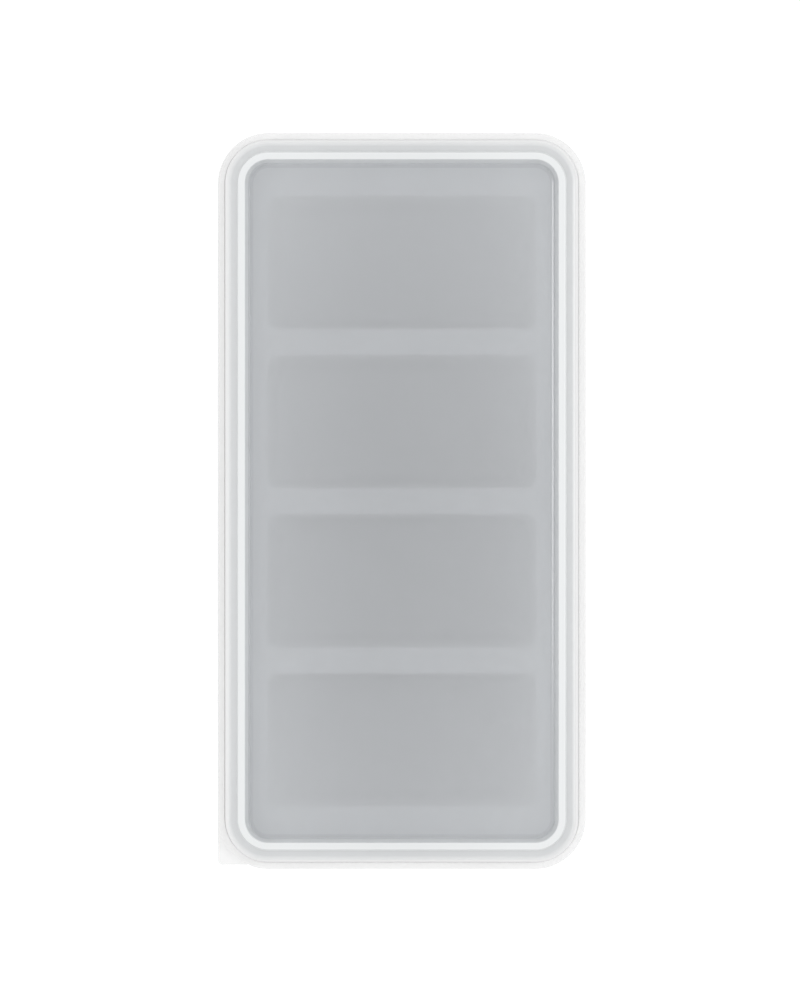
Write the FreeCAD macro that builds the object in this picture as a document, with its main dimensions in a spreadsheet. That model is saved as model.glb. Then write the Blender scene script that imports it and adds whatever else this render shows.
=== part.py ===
"""Freezer tray for portions of baby food: a silicone tray of pods, a wire in its rim, and a lid.

Every level outline of the part is a rounded rectangle round one core rectangle. The core joins the
centres of the rim's corner arcs, and an outline is given by its reach: how far it stands out from the
core, which is also the radius of its corners. The pods stand in a row along Y, on the plane Z = 0.
"""
import FreeCAD, Part
import math
import os
import Sketcher

TOLERANCE = 1e-3
UP = FreeCAD.Vector(0, 0, 1)
WIRE_FLATS = 8
WIRE_X = "Layout.core_x + Layout.wire_reach"
WIRE_Y = "Layout.core_y + Layout.wire_reach"

# Driving sizes in millimetres and degrees: name, value, meaning
DRIVING_SIZES = (
    ("pod_count", 4, "pods in the row"),
    ("pod_length", 99.4, "mouth of a pod, across the row"),
    ("pod_width", 49.2, "mouth of a pod, along the row"),
    ("pod_web", 9.7, "deck between the mouths of two pods"),
    ("pod_height", 54.0, "foot of the tray to the top of its deck"),
    ("pod_draft", 3.0, "lean of a pod's walls, so that a frozen block slips out"),
    ("pod_corner", 4.0, "radius inside a pod, down its corners and round its floor"),
    ("pod_wall", 2.2, "thickness of a pod's walls"),
    ("pod_floor", 2.4, "thickness of a pod's floor"),
    ("mouth_bevel", 0.6, "bevel of the deck into a pod"),
    ("deck_thickness", 2.5, "deck that joins the pods"),
    ("side_margin", 14.5, "pod mouth to the outside of the rim, at the ends of a pod"),
    ("end_margin", 19.55, "pod mouth to the outside of the rim, at the ends of the row"),
    ("rim_corner", 14.9, "radius of the rim's corners, outside"),
    ("rim_width", 5.7, "silicone round the wire, across"),
    ("rim_height", 5.5, "silicone round the wire, from its underside to the top of the deck"),
    ("rim_bevel", 0.6, "bevels at the foot of the rim: the lid's ridge snaps under the outer one"),
    ("bead_width", 3.33, "sealing bead on the rim, across"),
    ("bead_height", 3.0, "sealing bead above the deck"),
    ("bead_bevel", 0.9, "bevels of the bead's top"),
    ("wire_diameter", 3.0, "steel wire in the rim, drawn with eight flats"),
    ("wire_clearance", 0.1, "silicone to wire, at each flat"),
    ("notch_length", 3.0, "notches that the mould's supports leave under the wire, along the rim"),
    ("notch_width", 1.2, "the same notches, across the rim"),
    ("notch_margin", 12.0, "corner arc of the rim to the middle of the first notch"),
    ("side_notches", 5, "notches along each long side of the rim"),
    ("end_notches", 3, "notches along each end of the rim"),
    ("lid_wall", 1.2, "thickness of the lid"),
    ("lid_clearance", 0.4, "rim to the lid's skirt"),
    ("lid_round", 2.2, "shoulder of the lid, outside"),
    ("lip_width", 2.4, "flat lip round the foot of the lid"),
    ("lip_thickness", 1.0, "lip, from its underside to its top"),
    ("lip_bevel", 0.4, "bevel of the lip's top edge"),
    ("lip_drop", 1.1, "underside of the rim to the underside of the lip"),
    ("ridge_reach", 0.25, "snap ridge, proud of the inside of the skirt"),
    ("ridge_height", 1.2, "snap ridge, from its foot to its top"),
    ("ridge_lift", 0.6, "underside of the lip to the foot of the snap ridge"),
    ("ridge_bevel", 0.2, "bevel of the snap ridge, above and below"),
    ("rib_width", 2.5, "solid rib that seals against the inside of the bead"),
    ("rib_crest", 0.6, "rib above the top of the channel"),
    ("rib_bevel", 0.25, "bevels of the rib's crest"),
    ("rib_lead", 0.6, "bevel of the rib's foot, which leads it into the bead"),
    ("rib_clearance", 0.3, "bead to the lid's rib"),
    ("panel_gap", 0.3, "deck to the underside of the lid's panel"),
    ("recess_round", 2.8, "hollow rounding from the rib down to the panel"),
    ("tab_thickness", 0.8, "pull tab in one corner of the lid"),
    ("tab_step", 1.6, "edge of the tab, short of the lip at the end of the lid"),
    ("tab_corner", 1.8, "radius of the tab's corner"),
)

# Sizes that follow from the driving ones: name, formula, meaning
DERIVED_SIZES = (
    ("core_x", "Sizes.pod_length / 2 + Sizes.side_margin - Sizes.rim_corner", "half width of the core"),
    ("pod_pitch", "Sizes.pod_width + Sizes.pod_web", "one pod to the next"),
    ("pods_half", "((Sizes.pod_count - 1) * pod_pitch + Sizes.pod_width) / 2", "half length of the row"),
    ("core_y", "pods_half + Sizes.end_margin - Sizes.rim_corner", "half length of the core"),
    ("first_pod", "Sizes.pod_width / 2 - pods_half", "middle of the first pod"),
    ("wall_offset", "Sizes.pod_wall / cos(Sizes.pod_draft * 1 deg)", "pod wall, cut level"),
    ("block_length", "Sizes.pod_length + 2 * wall_offset", "outside of a pod, across the row"),
    ("block_width", "Sizes.pod_width + 2 * wall_offset", "outside of a pod, along the row"),
    ("block_corner", "Sizes.pod_corner + Sizes.pod_wall", "radius outside a pod"),
    ("bead_inner", "Sizes.rim_corner - Sizes.bead_width", "reach of the bead's inside"),
    ("rim_inner", "Sizes.rim_corner - Sizes.rim_width", "reach of the rim's inside"),
    ("wire_reach", "Sizes.rim_corner - Sizes.rim_width / 2", "reach of the wire's centre line"),
    ("rim_foot", "Sizes.pod_height - Sizes.rim_height", "level of the rim's underside"),
    ("deck_foot", "Sizes.pod_height - Sizes.deck_thickness", "level of the deck's underside"),
    ("wire_level", "Sizes.pod_height - Sizes.rim_height / 2", "level of the wire"),
    ("channel_flats", "Sizes.wire_diameter + 2 * Sizes.wire_clearance", "wire's channel, flat to flat"),
    ("bead_top", "Sizes.pod_height + Sizes.bead_height", "level of the bead's top"),
    ("side_notch", "Sizes.notch_margin - core_y", "middle of the first notch of a long side"),
    ("side_notch_pitch", "-2 * side_notch / (Sizes.side_notches - 1)", "one side notch to the next"),
    ("end_notch", "Sizes.notch_margin - core_x", "middle of the first notch of an end"),
    ("end_notch_pitch", "-2 * end_notch / (Sizes.end_notches - 1)", "one end notch to the next"),
    ("skirt_inner", "Sizes.rim_corner + Sizes.lid_clearance", "reach of the skirt's inside"),
    ("skirt_middle", "skirt_inner + Sizes.lid_wall / 2", "reach of the middle of the skirt's wall"),
    ("skirt_outer", "skirt_inner + Sizes.lid_wall", "reach of the skirt's outside"),
    ("inner_round", "Sizes.lid_round - Sizes.lid_wall", "arc inside the shoulder, for an even wall"),
    ("inner_bevel", "inner_round * (2 - sqrt(2))", "bevel that lies along that arc"),
    ("lip_outer", "skirt_outer + Sizes.lip_width", "reach of the lip"),
    ("ridge_inner", "skirt_inner - Sizes.ridge_reach", "reach of the snap ridge"),
    ("rib_outer", "bead_inner - Sizes.rib_clearance", "reach of the rib's outside"),
    ("rib_inner", "rib_outer - Sizes.rib_width", "reach of the rib's inside"),
    ("lid_foot", "rim_foot - Sizes.lip_drop", "level of the lid's foot, which its own levels start from"),
    ("channel_roof", "bead_top - lid_foot", "underside of the channel, in the lid"),
    ("channel_top", "channel_roof + Sizes.lid_wall", "top of the channel, in the lid"),
    ("panel_foot", "Sizes.pod_height + Sizes.panel_gap - lid_foot", "underside of the panel, in the lid"),
    ("panel_top", "panel_foot + Sizes.lid_wall", "top of the panel, in the lid"),
    ("rib_top", "channel_top + Sizes.rib_crest", "crest of the rib, in the lid"),
    ("tab_edge", "lip_outer - Sizes.tab_step", "reach of the tab's edge at the end of the lid"),
)


def fill_sheet(name, rows):
    """A spreadsheet with a named cell for each row."""
    sheet = doc.addObject("Spreadsheet::Sheet", name)
    for number, (alias, content, meaning) in enumerate(rows, start=1):
        sheet.set(f"A{number}", alias)
        sheet.set(f"B{number}", str(content))
        sheet.set(f"C{number}", meaning)
        sheet.setAlias(f"B{number}", alias)
    doc.recompute()
    return sheet


doc = FreeCAD.newDocument("FreezerTray")
sizes = fill_sheet("Sizes", DRIVING_SIZES)
layout = fill_sheet("Layout", [(alias, f"={formula}", meaning) for alias, formula, meaning in DERIVED_SIZES])


def value(expression):
    """What an expression comes to now, such as Sizes.pod_width."""
    return float(sizes.evalExpression(expression))


def make_body(label, level=None):
    """A body for one piece. Its label names the piece, and its foot stands at a level."""
    body = doc.addObject("PartDesign::Body", label)
    body.Label = label
    if level:
        body.setExpression("Placement.Base.z", level)
    return body


def origin_feature(body, role):
    """One of the body's own planes or axes."""
    return next(item for item in body.Origin.OriginFeatures if item.Role == role)


def make_sketch(body, name, plane="XY_Plane", **offsets):
    """A sketch on one of the body's own planes, set off from it by expressions."""
    sketch = body.newObject("Sketcher::SketchObject", name)
    sketch.AttachmentSupport = [(origin_feature(body, plane), "")]
    sketch.MapMode = "FlatFace"
    for axis, expression in offsets.items():
        sketch.setExpression(f"AttachmentOffset.Base.{axis}", expression)
    return sketch


def set_length(sketch, kind, *where, to):
    """A dimension in a sketch, bound to an expression."""
    index = sketch.addConstraint(Sketcher.Constraint(kind, *where, value(to)))
    sketch.setExpression(f"Constraints[{index}]", to)


def relate(sketch, kind, *where):
    """A relation in a sketch, such as one line tangent to another."""
    sketch.addConstraint(Sketcher.Constraint(kind, *where))


def point(x, y):
    """A point in a sketch's own plane."""
    return FreeCAD.Vector(x, y, 0)


def draw_line(sketch, start, end):
    """A straight edge in a sketch."""
    return sketch.addGeometry(Part.LineSegment(start, end))


def draw_quarter(sketch, centre, radius, quarter):
    """A quarter of a circle in a sketch, counter-clockwise, in one of the four quarters."""
    start = quarter * math.pi / 2
    circle = Part.Circle(centre, UP, radius)
    return sketch.addGeometry(Part.ArcOfCircle(circle, start, start + math.pi / 2))


def draw_outline(sketch, reach):
    """A rounded rectangle round the core rectangle.

    It starts on the X axis, halfway up its right side, so that a profile can be swept round it.
    """
    x = value("Layout.core_x")
    y = value("Layout.core_y")
    radius = value(reach)
    centres = (point(x, y), point(-x, y), point(-x, -y), point(x, -y))
    arcs = [draw_quarter(sketch, centre, radius, quarter) for quarter, centre in enumerate(centres)]
    lines = [
        draw_line(sketch, point(x + radius, 0), point(x + radius, y)),
        draw_line(sketch, point(x, y + radius), point(-x, y + radius)),
        draw_line(sketch, point(-x - radius, y), point(-x - radius, -y)),
        draw_line(sketch, point(-x, -y - radius), point(x, -y - radius)),
        draw_line(sketch, point(x + radius, -y), point(x + radius, 0)),
    ]
    for line, arc, next_line in zip(lines, arcs, lines[1:]):
        relate(sketch, "Tangent", line, 2, arc, 1)
        relate(sketch, "Tangent", arc, 2, next_line, 1)
    for arc in arcs[1:]:
        relate(sketch, "Equal", arcs[0], arc)
    for line, direction in zip(lines, ("Vertical", "Horizontal", "Vertical", "Horizontal", "Vertical")):
        relate(sketch, direction, line)
    relate(sketch, "Coincident", lines[4], 2, lines[0], 1)
    relate(sketch, "PointOnObject", lines[0], 1, -1)
    relate(sketch, "Symmetric", arcs[0], 3, arcs[2], 3, -1, 1)
    set_length(sketch, "DistanceX", -1, 1, arcs[0], 3, to="Layout.core_x")
    set_length(sketch, "DistanceY", -1, 1, arcs[0], 3, to="Layout.core_y")
    set_length(sketch, "Radius", arcs[0], to=reach)


def outline_sketch(body, name, *reaches, level=None):
    """A sketch of one outline, or of a ring between two, at a level."""
    offsets = {"z": level} if level else {}
    sketch = make_sketch(body, name, **offsets)
    for reach in reaches:
        draw_outline(sketch, reach)
    return sketch


def deck_plane(body):
    """A plane on top of the deck, which the walls of the pods lean about."""
    plane = body.newObject("PartDesign::Plane", "deck_plane")
    plane.AttachmentSupport = [(origin_feature(body, "XY_Plane"), "")]
    plane.MapMode = "FlatFace"
    plane.setExpression("AttachmentOffset.Base.z", "Sizes.pod_height")
    return plane


def draw_rectangle(sketch, middle_x, middle_y, length, width):
    """A rectangle in a sketch, of a length along X and a width along Y, round a middle."""
    start_x = f"{middle_x} - {length} / 2"
    start_y = f"{middle_y} - {width} / 2"
    low = point(value(start_x), value(start_y))
    high = low + point(value(length), value(width))
    corners = (low, point(high.x, low.y), high, point(low.x, high.y))
    lines = [draw_line(sketch, start, end) for start, end in zip(corners, corners[1:] + corners[:1])]
    for line, next_line in zip(lines, lines[1:] + lines[:1]):
        relate(sketch, "Coincident", line, 2, next_line, 1)
    for line, direction in zip(lines, ("Horizontal", "Vertical", "Horizontal", "Vertical")):
        relate(sketch, direction, line)
    set_length(sketch, "DistanceX", -1, 1, lines[0], 1, to=start_x)
    set_length(sketch, "DistanceY", -1, 1, lines[0], 1, to=start_y)
    set_length(sketch, "DistanceX", lines[0], 1, lines[0], 2, to=length)
    set_length(sketch, "DistanceY", lines[1], 1, lines[1], 2, to=width)


def pod_sketch(body, name, length, width):
    """A rectangle round the middle of the first pod, on top of the deck."""
    sketch = make_sketch(body, name, y="Layout.first_pod", z="Sizes.pod_height")
    draw_rectangle(sketch, "0", "0", length, width)
    return sketch


def notch_sketch(body, name, length, width, *middles):
    """Notches in the underside of the rim, where rows of them start."""
    sketch = make_sketch(body, name, z="Layout.rim_foot")
    for middle_x, middle_y in middles:
        draw_rectangle(sketch, middle_x, middle_y, length, width)
    return sketch


def wire_sketch(body, name, flats, level):
    """The eight-sided section of the wire, or of its channel, where the wire crosses the X axis."""
    sketch = make_sketch(body, name, plane="XZ_Plane")
    middle = point(value(WIRE_X), value(level))
    half_step = math.pi / WIRE_FLATS
    radius = value(flats) / 2 / math.cos(half_step)
    angles = [(2 * number - 1) * half_step for number in range(WIRE_FLATS)]
    corners = [middle + point(radius * math.cos(angle), radius * math.sin(angle)) for angle in angles]
    lines = [draw_line(sketch, start, end) for start, end in zip(corners, corners[1:] + corners[:1])]
    circle = sketch.addGeometry(Part.Circle(middle, UP, radius), True)
    for line, next_line in zip(lines, lines[1:] + lines[:1]):
        relate(sketch, "Coincident", line, 2, next_line, 1)
        relate(sketch, "PointOnObject", line, 1, circle)
    for line in lines[1:]:
        relate(sketch, "Equal", lines[0], line)
    relate(sketch, "Vertical", lines[0])
    set_length(sketch, "DistanceX", -1, 1, circle, 3, to=WIRE_X)
    set_length(sketch, "DistanceY", -1, 1, circle, 3, to=level)
    set_length(sketch, "Distance", circle, 3, lines[0], to=f"{flats} / 2")
    return sketch


def tab_sketch(body):
    """The pull tab, which fills the corner of the lid outside the middle of the skirt's wall."""
    sketch = make_sketch(body, "tab_sketch")
    x = value("Layout.core_x")
    y = value("Layout.core_y")
    root = value("Layout.skirt_middle")
    side = value("Layout.lip_outer")
    end = value("Layout.tab_edge")
    round_off = value("Sizes.tab_corner")
    top = draw_line(sketch, point(-x - root, -y), point(-x - side, -y))
    left = draw_line(sketch, point(-x - side, -y), point(-x - side, -y - end + round_off))
    corner = draw_quarter(sketch, point(-x - side + round_off, -y - end + round_off), round_off, 2)
    foot = draw_line(sketch, point(-x - side + round_off, -y - end), point(-x, -y - end))
    right = draw_line(sketch, point(-x, -y - end), point(-x, -y - root))
    inner = draw_quarter(sketch, point(-x, -y), root, 2)
    relate(sketch, "Coincident", top, 2, left, 1)
    relate(sketch, "Tangent", left, 2, corner, 1)
    relate(sketch, "Tangent", corner, 2, foot, 1)
    relate(sketch, "Coincident", foot, 2, right, 1)
    relate(sketch, "Coincident", right, 2, inner, 2)
    relate(sketch, "Coincident", inner, 1, top, 1)
    relate(sketch, "Horizontal", top)
    relate(sketch, "Vertical", left)
    relate(sketch, "Horizontal", foot)
    relate(sketch, "Vertical", right)
    relate(sketch, "Horizontal", inner, 3, inner, 1)
    relate(sketch, "Vertical", inner, 3, inner, 2)
    set_length(sketch, "DistanceX", inner, 3, -1, 1, to="Layout.core_x")
    set_length(sketch, "DistanceY", inner, 3, -1, 1, to="Layout.core_y")
    set_length(sketch, "Radius", inner, to="Layout.skirt_middle")
    set_length(sketch, "DistanceX", left, 1, inner, 3, to="Layout.lip_outer")
    set_length(sketch, "DistanceY", foot, 1, inner, 3, to="Layout.tab_edge")
    set_length(sketch, "Radius", corner, to="Sizes.tab_corner")
    return sketch


def add_feature(body, kind, name, bound):
    """A feature at the end of a body, with its sizes bound to expressions."""
    feature = body.newObject(f"PartDesign::{kind}", name)
    for size, expression in bound.items():
        feature.setExpression(size, expression)
    return feature


def finish_feature(body, feature, cuts=False):
    """Build a feature as the body's new end. One that cuts has to take some of the body away."""
    before = body.Shape.Volume if cuts else 0
    body.Tip = feature
    doc.recompute()
    if "Invalid" in feature.State:
        raise RuntimeError(f"{feature.Name} failed")
    if cuts and body.Shape.Volume > before - TOLERANCE:
        raise RuntimeError(f"{feature.Name} cuts nothing")
    return feature


def pad(body, name, profile, length, down=False, **bound):
    """A sketch drawn up into solid, or down."""
    feature = add_feature(body, "Pad", name, {"Length": length, **bound})
    feature.Profile = profile
    feature.Reversed = down
    return finish_feature(body, feature)


def pocket(body, name, profile, length, up=False, **bound):
    """A sketch cut down into the body, or up."""
    feature = add_feature(body, "Pocket", name, {"Length": length, **bound})
    feature.Profile = profile
    feature.Reversed = up
    return finish_feature(body, feature, cuts=True)


def row_of(body, name, original, axis, pitch, count, cuts=False):
    """A feature repeated along one of the body's axes."""
    feature = add_feature(body, "LinearPattern", name, {"Offset": pitch, "Occurrences": count})
    feature.Originals = [original]
    feature.Direction = (origin_feature(body, axis), [""])
    feature.Mode = "Spacing"
    return finish_feature(body, feature, cuts)


def swept(body, kind, name, profile, spine):
    """A section carried round an outline, added to the body or cut from it."""
    feature = add_feature(body, kind, name, {})
    feature.Profile = profile
    feature.Spine = (spine, [""])
    return finish_feature(body, feature, cuts=kind == "SubtractivePipe")


def near(first, second):
    """Whether two lengths are the same."""
    return abs(first - second) < TOLERANCE


def lean(body, name, foot, plane, outwards):
    """Lean the upright walls that rise from a level about a plane, out of the solid or into it."""
    base = body.Tip
    level = value(foot)
    names = []
    for number, face in enumerate(base.Shape.Faces, start=1):
        if near(face.BoundBox.ZMin, level) and near(face.normalAt(0, 0).z, 0):
            names.append(f"Face{number}")
    feature = add_feature(body, "Draft", name, {"Angle": "Sizes.pod_draft"})
    feature.Base = (base, names)
    feature.NeutralPlane = (plane, [""])
    feature.Reversed = outwards
    return finish_feature(body, feature)


def dress(body, kind, name, size, wanted):
    """A fillet or chamfer on those edges at the body's end that are wanted.

    Each edge is offered by the levels of its lowest and highest points and by its middle's reach.
    """
    x = value("Layout.core_x")
    y = value("Layout.core_y")
    base = body.Tip
    names = []
    for number, edge in enumerate(base.Shape.Edges, start=1):
        box = edge.BoundBox
        middle = edge.valueAt((edge.FirstParameter + edge.LastParameter) / 2)
        reach = math.hypot(max(abs(middle.x) - x, 0), max(abs(middle.y) - y, 0))
        if wanted(box.ZMin, box.ZMax, reach):
            names.append(f"Edge{number}")
    if not names:
        raise RuntimeError(f"{name} finds no edges")
    size_name = {"Fillet": "Radius", "Chamfer": "Size"}[kind]
    feature = add_feature(body, kind, name, {size_name: size})
    feature.Base = (base, names)
    return finish_feature(body, feature)


def on_outline(level, *reaches):
    """Picks the edges of outlines at a level."""
    height = value(level)
    offsets = [value(reach) for reach in reaches]
    return lambda low, high, reach: (
        near(low, height) and near(high, height) and any(near(reach, offset) for offset in offsets)
    )


def on_pods(level):
    """Picks the level edges of the pods at a level, all of which lie inside the rim."""
    height = value(level)
    limit = value("Layout.rim_inner")
    return lambda low, high, reach: near(low, height) and near(high, height) and reach < limit - TOLERANCE


def rising_from(level):
    """Picks the edges of a pod's floor, at a level, and the corners that rise from it."""
    height = value(level)
    return lambda low, high, reach: near(low, height)


def build_tray():
    """The tray: one moulding in silicone, with its pods, deck, rim and bead."""
    body = make_body("silicone_tray")

    rim_sketch = outline_sketch(body, "rim_sketch", "Sizes.rim_corner", level="Layout.rim_foot")
    pad(body, "rim", rim_sketch, "Layout.bead_top - Layout.rim_foot")
    bead_sketch = outline_sketch(body, "bead_sketch", "Layout.bead_inner", level="Layout.bead_top")
    pocket(body, "deck_top", bead_sketch, "Sizes.bead_height")
    hollow_sketch = outline_sketch(body, "hollow_sketch", "Layout.rim_inner", level="Layout.rim_foot")
    pocket(body, "deck_underside", hollow_sketch, "Layout.deck_foot - Layout.rim_foot", up=True)

    block_sketch = pod_sketch(body, "block_sketch", "Layout.block_length", "Layout.block_width")
    block = pad(body, "pod_block", block_sketch, "Sizes.pod_height", down=True)
    row_of(body, "pod_blocks", block, "Y_Axis", "Layout.pod_pitch", "Sizes.pod_count")
    mouth_sketch = pod_sketch(body, "mouth_sketch", "Sizes.pod_length", "Sizes.pod_width")
    cavity = pocket(body, "pod_cavity", mouth_sketch, "Sizes.pod_height - Sizes.pod_floor")
    row_of(body, "pod_cavities", cavity, "Y_Axis", "Layout.pod_pitch", "Sizes.pod_count", cuts=True)
    plane = deck_plane(body)
    lean(body, "cavity_draft", "Sizes.pod_floor", plane, False)
    lean(body, "block_draft", "0", plane, True)
    dress(body, "Fillet", "cavity_corners", "Sizes.pod_corner", rising_from("Sizes.pod_floor"))
    dress(body, "Chamfer", "pod_mouths", "Sizes.mouth_bevel", on_pods("Sizes.pod_height"))
    dress(body, "Fillet", "block_corners", "Layout.block_corner", rising_from("0"))

    bead_edges = on_outline("Layout.bead_top", "Sizes.rim_corner", "Layout.bead_inner")
    dress(body, "Chamfer", "bead_crown", "Sizes.bead_bevel", bead_edges)
    rim_feet = on_outline("Layout.rim_foot", "Layout.rim_inner", "Sizes.rim_corner")
    dress(body, "Chamfer", "rim_feet", "Sizes.rim_bevel", rim_feet)

    section = wire_sketch(body, "channel_section", "Layout.channel_flats", "Layout.wire_level")
    spine = outline_sketch(body, "channel_line", "Layout.wire_reach", level="Layout.wire_level")
    swept(body, "SubtractivePipe", "wire_channel", section, spine)

    rise = "Layout.wire_level - Layout.rim_foot"
    starts = ((WIRE_X, "Layout.side_notch"), (f"-({WIRE_X})", "Layout.side_notch"))
    sides = notch_sketch(body, "side_sketch", "Sizes.notch_width", "Sizes.notch_length", *starts)
    notches = pocket(body, "side_notches", sides, rise, up=True)
    row_of(body, "side_rows", notches, "Y_Axis", "Layout.side_notch_pitch", "Sizes.side_notches", True)
    starts = (("Layout.end_notch", WIRE_Y), ("Layout.end_notch", f"-({WIRE_Y})"))
    ends = notch_sketch(body, "end_sketch", "Sizes.notch_length", "Sizes.notch_width", *starts)
    notches = pocket(body, "end_notches", ends, rise, up=True)
    row_of(body, "end_rows", notches, "X_Axis", "Layout.end_notch_pitch", "Sizes.end_notches", True)
    return body


def build_wire():
    """The wire: a closed loop of stainless steel, inside the rim."""
    body = make_body("rim_wire", level="Layout.wire_level")
    section = wire_sketch(body, "wire_section", "Sizes.wire_diameter", "0")
    spine = outline_sketch(body, "wire_line", "Layout.wire_reach")
    swept(body, "AdditivePipe", "wire", section, spine)
    return body


def build_lid():
    """The lid: one moulding in polypropylene, which snaps over the rim and rests on the bead."""
    body = make_body("lid", level="Layout.lid_foot")

    pad(body, "cap", outline_sketch(body, "cap_sketch", "Layout.skirt_outer"), "Layout.channel_top")
    shoulder = on_outline("Layout.channel_top", "Layout.skirt_outer")
    dress(body, "Fillet", "shoulder", "Sizes.lid_round", shoulder)
    pad(body, "lip", outline_sketch(body, "lip_sketch", "Layout.lip_outer"), "Sizes.lip_thickness")
    lip_edge = on_outline("Sizes.lip_thickness", "Layout.lip_outer")
    dress(body, "Chamfer", "lip_edge", "Sizes.lip_bevel", lip_edge)
    skirt_sketch = outline_sketch(body, "skirt_sketch", "Layout.skirt_inner")
    pocket(body, "channel", skirt_sketch, "Layout.channel_roof", up=True)
    inner_shoulder = on_outline("Layout.channel_roof", "Layout.skirt_inner")
    dress(body, "Chamfer", "inner_shoulder", "Layout.inner_bevel", inner_shoulder)

    rib_sketch = outline_sketch(body, "rib_sketch", "Layout.rib_outer", level="Layout.panel_foot")
    pad(body, "rib", rib_sketch, "Layout.rib_top - Layout.panel_foot")
    recess_sketch = outline_sketch(body, "recess_sketch", "Layout.rib_inner", level="Layout.rib_top")
    pocket(body, "recess", recess_sketch, "Layout.rib_top - Layout.panel_top")
    recess_foot = on_outline("Layout.panel_top", "Layout.rib_inner")
    dress(body, "Fillet", "recess_foot", "Sizes.recess_round", recess_foot)
    rib_edges = on_outline("Layout.rib_top", "Layout.rib_outer", "Layout.rib_inner")
    dress(body, "Chamfer", "rib_crown", "Sizes.rib_bevel", rib_edges)
    rib_foot = on_outline("Layout.panel_foot", "Layout.rib_outer")
    dress(body, "Chamfer", "rib_foot", "Sizes.rib_lead", rib_foot)

    ring = ("Layout.skirt_middle", "Layout.ridge_inner")
    ridge_sketch = outline_sketch(body, "ridge_sketch", *ring, level="Sizes.ridge_lift")
    pad(body, "snap_ridge", ridge_sketch, "Sizes.ridge_height")
    ridge_top = on_outline("Sizes.ridge_lift + Sizes.ridge_height", "Layout.ridge_inner")
    dress(body, "Chamfer", "ridge_top", "Sizes.ridge_bevel", ridge_top)
    ridge_foot = on_outline("Sizes.ridge_lift", "Layout.ridge_inner")
    dress(body, "Chamfer", "ridge_foot", "Sizes.ridge_bevel", ridge_foot)

    pad(body, "pull_tab", tab_sketch(body), "Sizes.tab_thickness")
    return body


def check_document():
    """Stop if any object of the document failed."""
    for item in doc.Objects:
        if "Invalid" in item.State or "Error" in item.State:
            raise RuntimeError(f"{item.Name} failed: {item.State}")


def export_piece(body):
    """Write one piece to its own file, if it is one sound solid."""
    shape = body.Shape
    if shape.isNull() or not shape.isValid() or len(shape.Solids) != 1:
        raise RuntimeError(f"{body.Label} is not one sound solid")
    shape.exportStep(f"parts/{body.Label}.step")


pieces = [build_tray(), build_wire(), build_lid()]
doc.recompute()
check_document()
os.makedirs("parts", exist_ok=True)
for piece in pieces:
    export_piece(piece)
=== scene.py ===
"""A freezer tray for baby food: four silicone pods in a row, a wire in the rim and a frosted lid."""
import bmesh
import bpy
import math
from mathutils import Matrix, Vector


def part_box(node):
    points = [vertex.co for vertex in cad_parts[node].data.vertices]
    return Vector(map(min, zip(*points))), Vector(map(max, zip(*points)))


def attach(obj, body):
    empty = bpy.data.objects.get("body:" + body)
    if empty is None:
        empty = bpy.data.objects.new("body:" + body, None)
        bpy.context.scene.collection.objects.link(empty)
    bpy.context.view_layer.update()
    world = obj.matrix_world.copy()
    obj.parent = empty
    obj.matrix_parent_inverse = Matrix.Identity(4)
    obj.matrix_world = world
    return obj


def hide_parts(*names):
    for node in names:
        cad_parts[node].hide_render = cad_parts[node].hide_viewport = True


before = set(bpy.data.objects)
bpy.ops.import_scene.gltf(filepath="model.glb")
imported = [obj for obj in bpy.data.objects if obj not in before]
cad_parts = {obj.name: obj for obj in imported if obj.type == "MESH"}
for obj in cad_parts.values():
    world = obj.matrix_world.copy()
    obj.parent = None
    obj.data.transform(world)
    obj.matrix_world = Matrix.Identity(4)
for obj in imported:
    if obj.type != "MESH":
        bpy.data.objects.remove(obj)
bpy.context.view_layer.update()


# ---- Setting ----
# A table top under a soft, even studio light, with a lamp high on the right and a weaker, wider one
# low on the left. The camera looks straight down on the tray through a long lens.
FLOOR_HALF = 6.0
FLOOR_WHITE = (0.8, 0.8, 0.8, 1.0)
FLOOR_GLOW = 0.88
FLOOR_SHADED = (0.24, 0.24, 0.24, 1.0)
SKY_WHITE = (1.0, 1.0, 1.0, 1.0)
SKY_STRENGTH = 0.85
LAMPS = (
    ("key_lamp", Vector((0.72, 0.08, 1.42)), 0.36, 4.0),
    ("low_lamp", Vector((-1.1, -0.1, 0.6)), 0.5, 1.4),
)
CAMERA_LENS = 250.0
SENSOR = 36.0
FRAME_HEIGHT = 0.371
LIP_LEVEL = 0.048
CAMERA_SHIFT = Vector((-0.00065, 0.00037, 0.0))
VIEW_DEPTH = 50.0


def add_node(tree, kind, place, inputs=(), **settings):
    """A node of a tree, with its settings and the values of its inputs, by name or number."""
    node = tree.nodes.new(kind)
    node.location = place
    for name, setting in settings.items():
        setattr(node, name, setting)
    for name, value in dict(inputs).items():
        node.inputs[name].default_value = value
    return node


def seen_directly(tree):
    """One where the camera, a mirror image or clear plastic shows the surface, and nought elsewhere."""
    path = add_node(tree, "ShaderNodeLightPath", (-900, 300))
    some = add_node(tree, "ShaderNodeMath", (-700, 300), operation="MAXIMUM")
    seen = add_node(tree, "ShaderNodeMath", (-500, 300), operation="MAXIMUM")
    tree.links.new(path.outputs["Is Camera Ray"], some.inputs[0])
    tree.links.new(path.outputs["Is Glossy Ray"], some.inputs[1])
    tree.links.new(some.outputs[0], seen.inputs[0])
    tree.links.new(path.outputs["Is Transmission Ray"], seen.inputs[1])
    return seen.outputs[0]


def new_material(name):
    """A new material with its tree of nodes."""
    material = bpy.data.materials.new(name)
    material.use_nodes = True
    return material, material.node_tree


def new_object(name, data):
    """An object in the scene, at the origin."""
    thing = bpy.data.objects.new(name, data)
    bpy.context.scene.collection.objects.link(thing)
    return thing


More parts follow.
